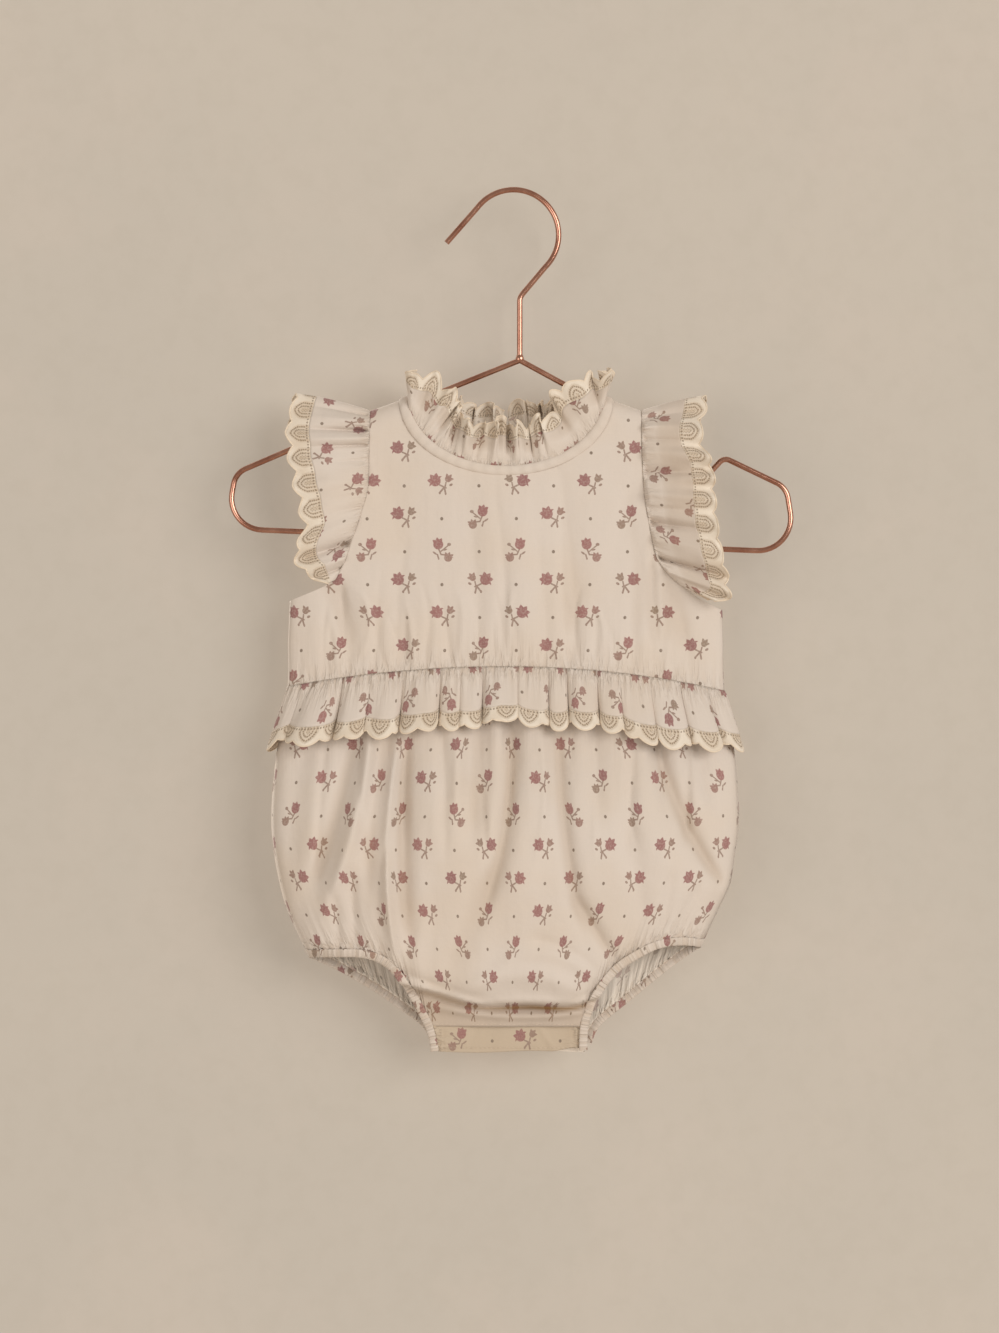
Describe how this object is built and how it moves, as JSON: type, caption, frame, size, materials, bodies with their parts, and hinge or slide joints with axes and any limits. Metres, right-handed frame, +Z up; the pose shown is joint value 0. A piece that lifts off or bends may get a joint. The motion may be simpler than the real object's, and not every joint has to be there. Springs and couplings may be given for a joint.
{
  "type": "baby romper on wire hanger",
  "caption": "Sleeveless baby romper with flutter sleeves, neck ruffle, lace-edged waist ruffle and bubble bottom, hung flat on a one-piece wire hanger.",
  "frame": {"origin": "top of the inside of the hanger's hook, where a rail or peg carries it", "axes": "+Z up, -Y is the garment's front, +X to the right of someone looking at the front"},
  "size_m": [0.3031, 0.0589, 0.4647],
  "materials": {
    "printed_cotton": "matt woven cotton with a small repeating bud print",
    "plain_cotton": "matt woven cotton",
    "cotton_lace": "matt cotton lace",
    "button": "satin shell",
    "press_stud": "satin",
    "rose_gold_wire": "polished rose-gold plate"
  },
  "bodies": {
    "root": {"bodice_front": "printed_cotton", "bodice_back_left": "printed_cotton", "bodice_back_right": "printed_cotton", "neck_binding": "plain_cotton", "neck_ruffle": "printed_cotton", "neck_lace": "cotton_lace", "sleeve_left": "printed_cotton", "sleeve_right": "printed_cotton", "sleeve_lace_left": "cotton_lace", "sleeve_lace_right": "cotton_lace", "peplum_front": "printed_cotton", "peplum_back": "printed_cotton", "peplum_lace_front": "cotton_lace", "peplum_lace_back": "cotton_lace", "bottom_front": "printed_cotton", "bottom_back": "printed_cotton", "leg_casing_front_left": "printed_cotton", "leg_casing_front_right": "printed_cotton", "leg_casing_back_left": "printed_cotton", "leg_casing_back_right": "printed_cotton", "placket_front": "printed_cotton", "placket_back": "printed_cotton", "press_stud_1": "press_stud", "press_stud_2": "press_stud", "press_stud_3": "press_stud", "neck_button": "button", "neck_loop": "plain_cotton", "hanger_hook": "rose_gold_wire", "hanger_frame": "rose_gold_wire"}
  },
  "joints": []
}
